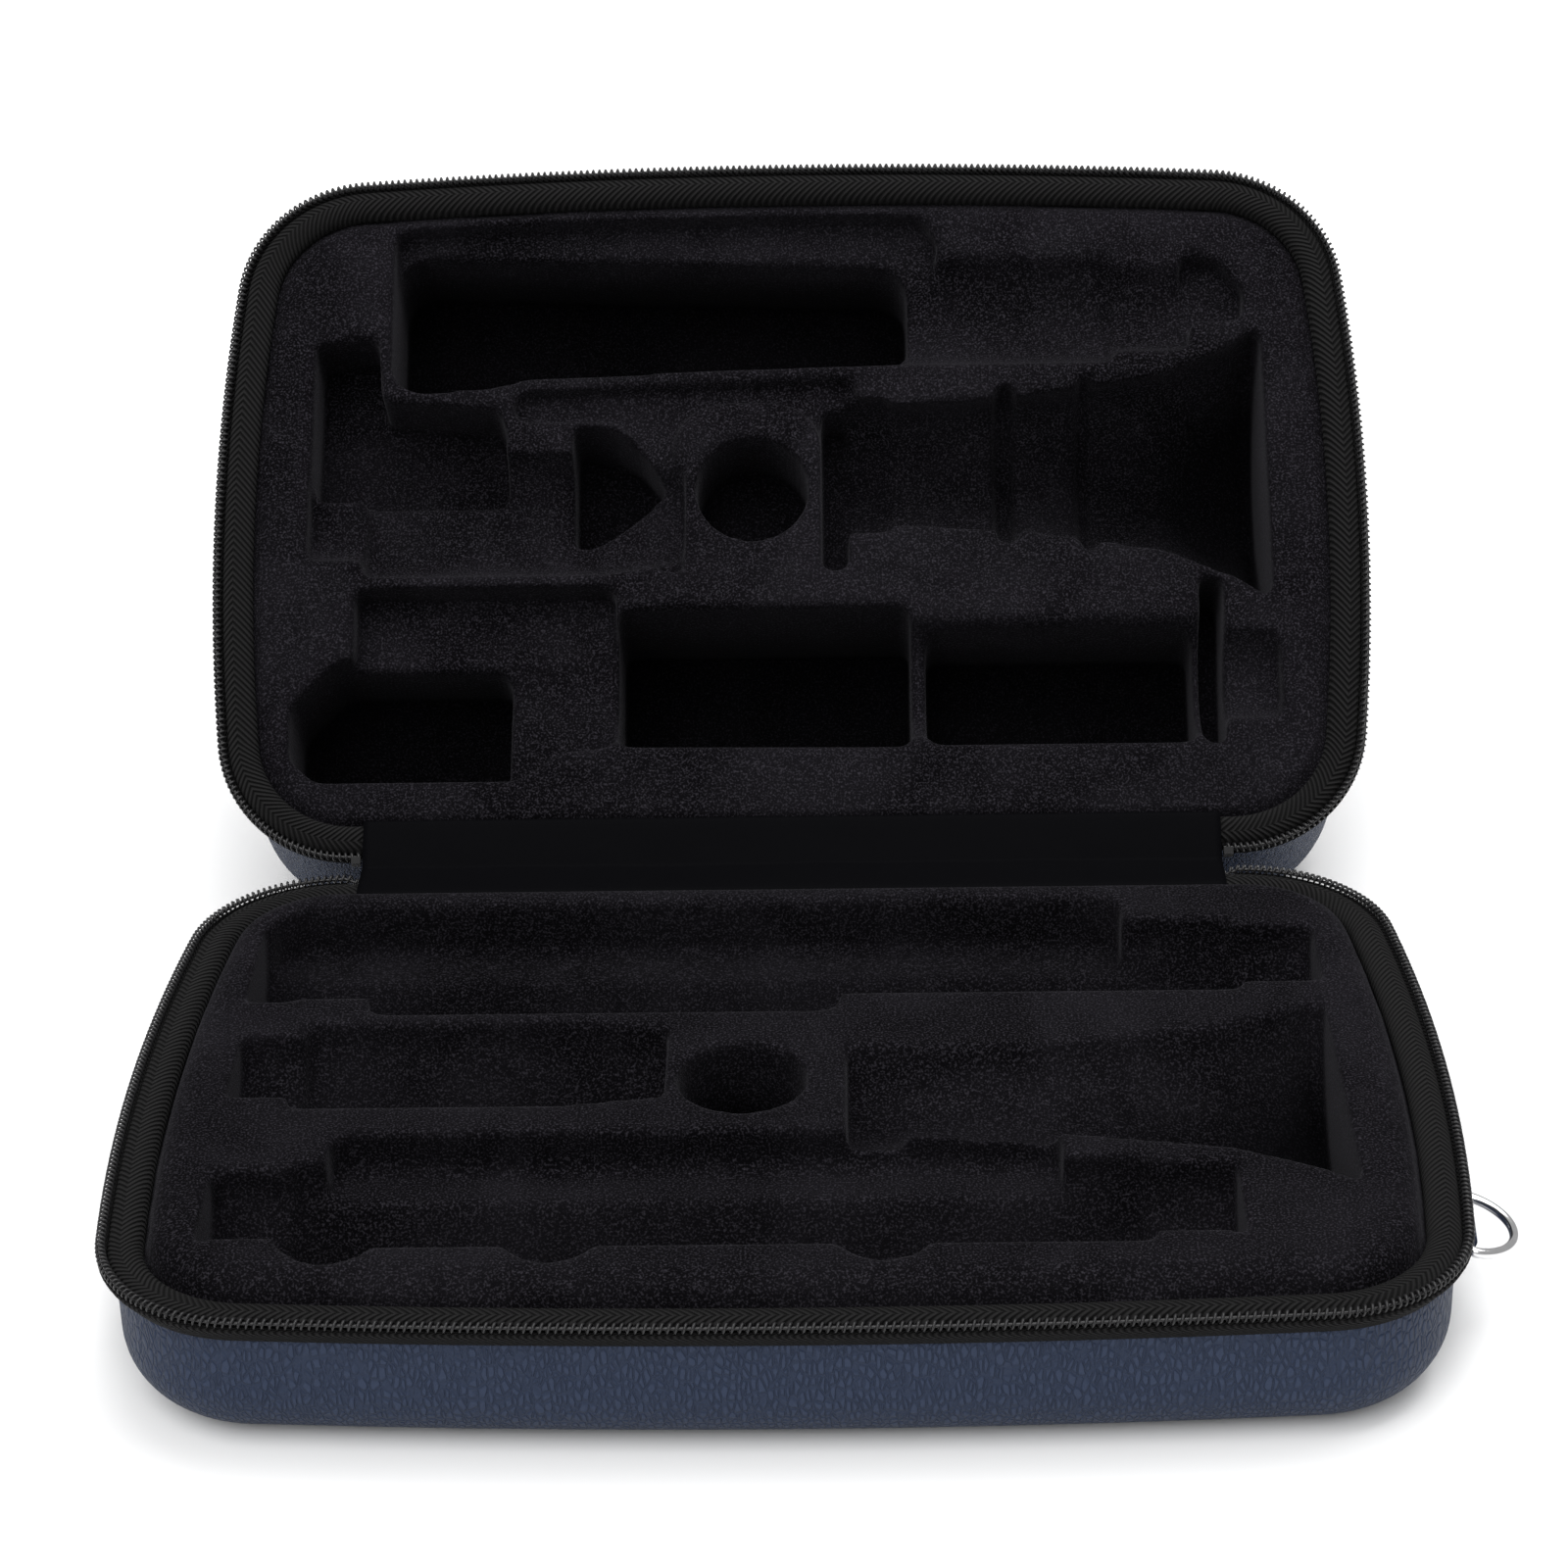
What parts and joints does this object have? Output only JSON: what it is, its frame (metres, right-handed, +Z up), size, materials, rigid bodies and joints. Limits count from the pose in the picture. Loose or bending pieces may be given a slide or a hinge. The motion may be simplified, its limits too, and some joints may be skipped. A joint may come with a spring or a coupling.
{
  "type": "clarinet case",
  "caption": "Moulded zip case for a clarinet in its joints: shallow base and deeper lid on a fabric hinge, fitted flocked trays, coil zipper, strap rings and carry handle.",
  "frame": {"origin": "middle of the base's underside, on what the case stands on", "axes": "+X along the hinge to the right when seen from the front, +Y from the front of the base towards the hinge, +Z up"},
  "size_m": [0.317, 0.3906, 0.1756],
  "materials": {
    "navy_leatherette": "pebbled, satin",
    "black_flock": "short flocked pile",
    "black_twill": "herringbone tape",
    "black_cloth": "plain cloth",
    "black_coil": "nylon coil, satin",
    "nickel": "polished nickel plate"
  },
  "bodies": {
    "base": {"base_shell": "navy_leatherette", "base_tray": "black_flock", "base_rim_band": "black_twill", "base_zipper_tape": "black_twill", "base_zipper_coil": "black_coil", "base_zipper_stops": "nickel", "hinge_strip": "black_cloth", "hinge_cover": "navy_leatherette", "zipper_slider_left": "nickel", "zipper_slider_right": "nickel", "ring_tab_left": "navy_leatherette", "ring_tab_right": "navy_leatherette", "ring_tab_rivets": "nickel"},
    "lid": {"lid_shell": "navy_leatherette", "lid_tray": "black_flock", "lid_rim_band": "black_twill", "lid_zipper_tape": "black_twill", "lid_zipper_coil": "black_coil", "lid_zipper_stops": "nickel", "handle_tabs": "navy_leatherette", "handle_rivets": "nickel"},
    "handle": {"handle_grip": "navy_leatherette", "handle_loops": "nickel"},
    "ring_left": {"d_ring_left": "nickel"},
    "ring_right": {"d_ring_right": "nickel"},
    "pull_left": {"zipper_pull_left": "nickel"},
    "pull_right": {"zipper_pull_right": "nickel"}
  },
  "joints": [
    {"name": "lid_hinge", "type": "hinge", "parent": "base", "child": "lid", "pos_m": [0, 0.101, 0.038], "axis": [1, 0, 0], "range_deg": [0, 136.8], "deforming": ["hinge_strip", "hinge_cover"]},
    {"name": "handle_swing", "type": "hinge", "parent": "lid", "child": "handle", "pos_m": [0, 0.26498, 0.15904], "axis": [1, 0, 0], "range_deg": [0, 115]},
    {"name": "ring_left_swing", "type": "hinge", "parent": "base", "child": "ring_left", "pos_m": [-0.15052, -0.04423, 0.024], "axis": [-0.0728, 0.9973, 0], "range_deg": [0, 160]},
    {"name": "ring_right_swing", "type": "hinge", "parent": "base", "child": "ring_right", "pos_m": [0.15052, -0.04423, 0.024], "axis": [-0.0728, -0.9973, 0], "range_deg": [-77, 83]},
    {"name": "pull_left_swing", "type": "hinge", "parent": "base", "child": "pull_left", "pos_m": [-0.1037, 0.1034, 0.0336], "axis": [1, 0, 0], "range_deg": [-8, 45]},
    {"name": "pull_right_swing", "type": "hinge", "parent": "base", "child": "pull_right", "pos_m": [0.1037, 0.1034, 0.0336], "axis": [1, 0, 0], "range_deg": [-8, 45]}
  ]
}
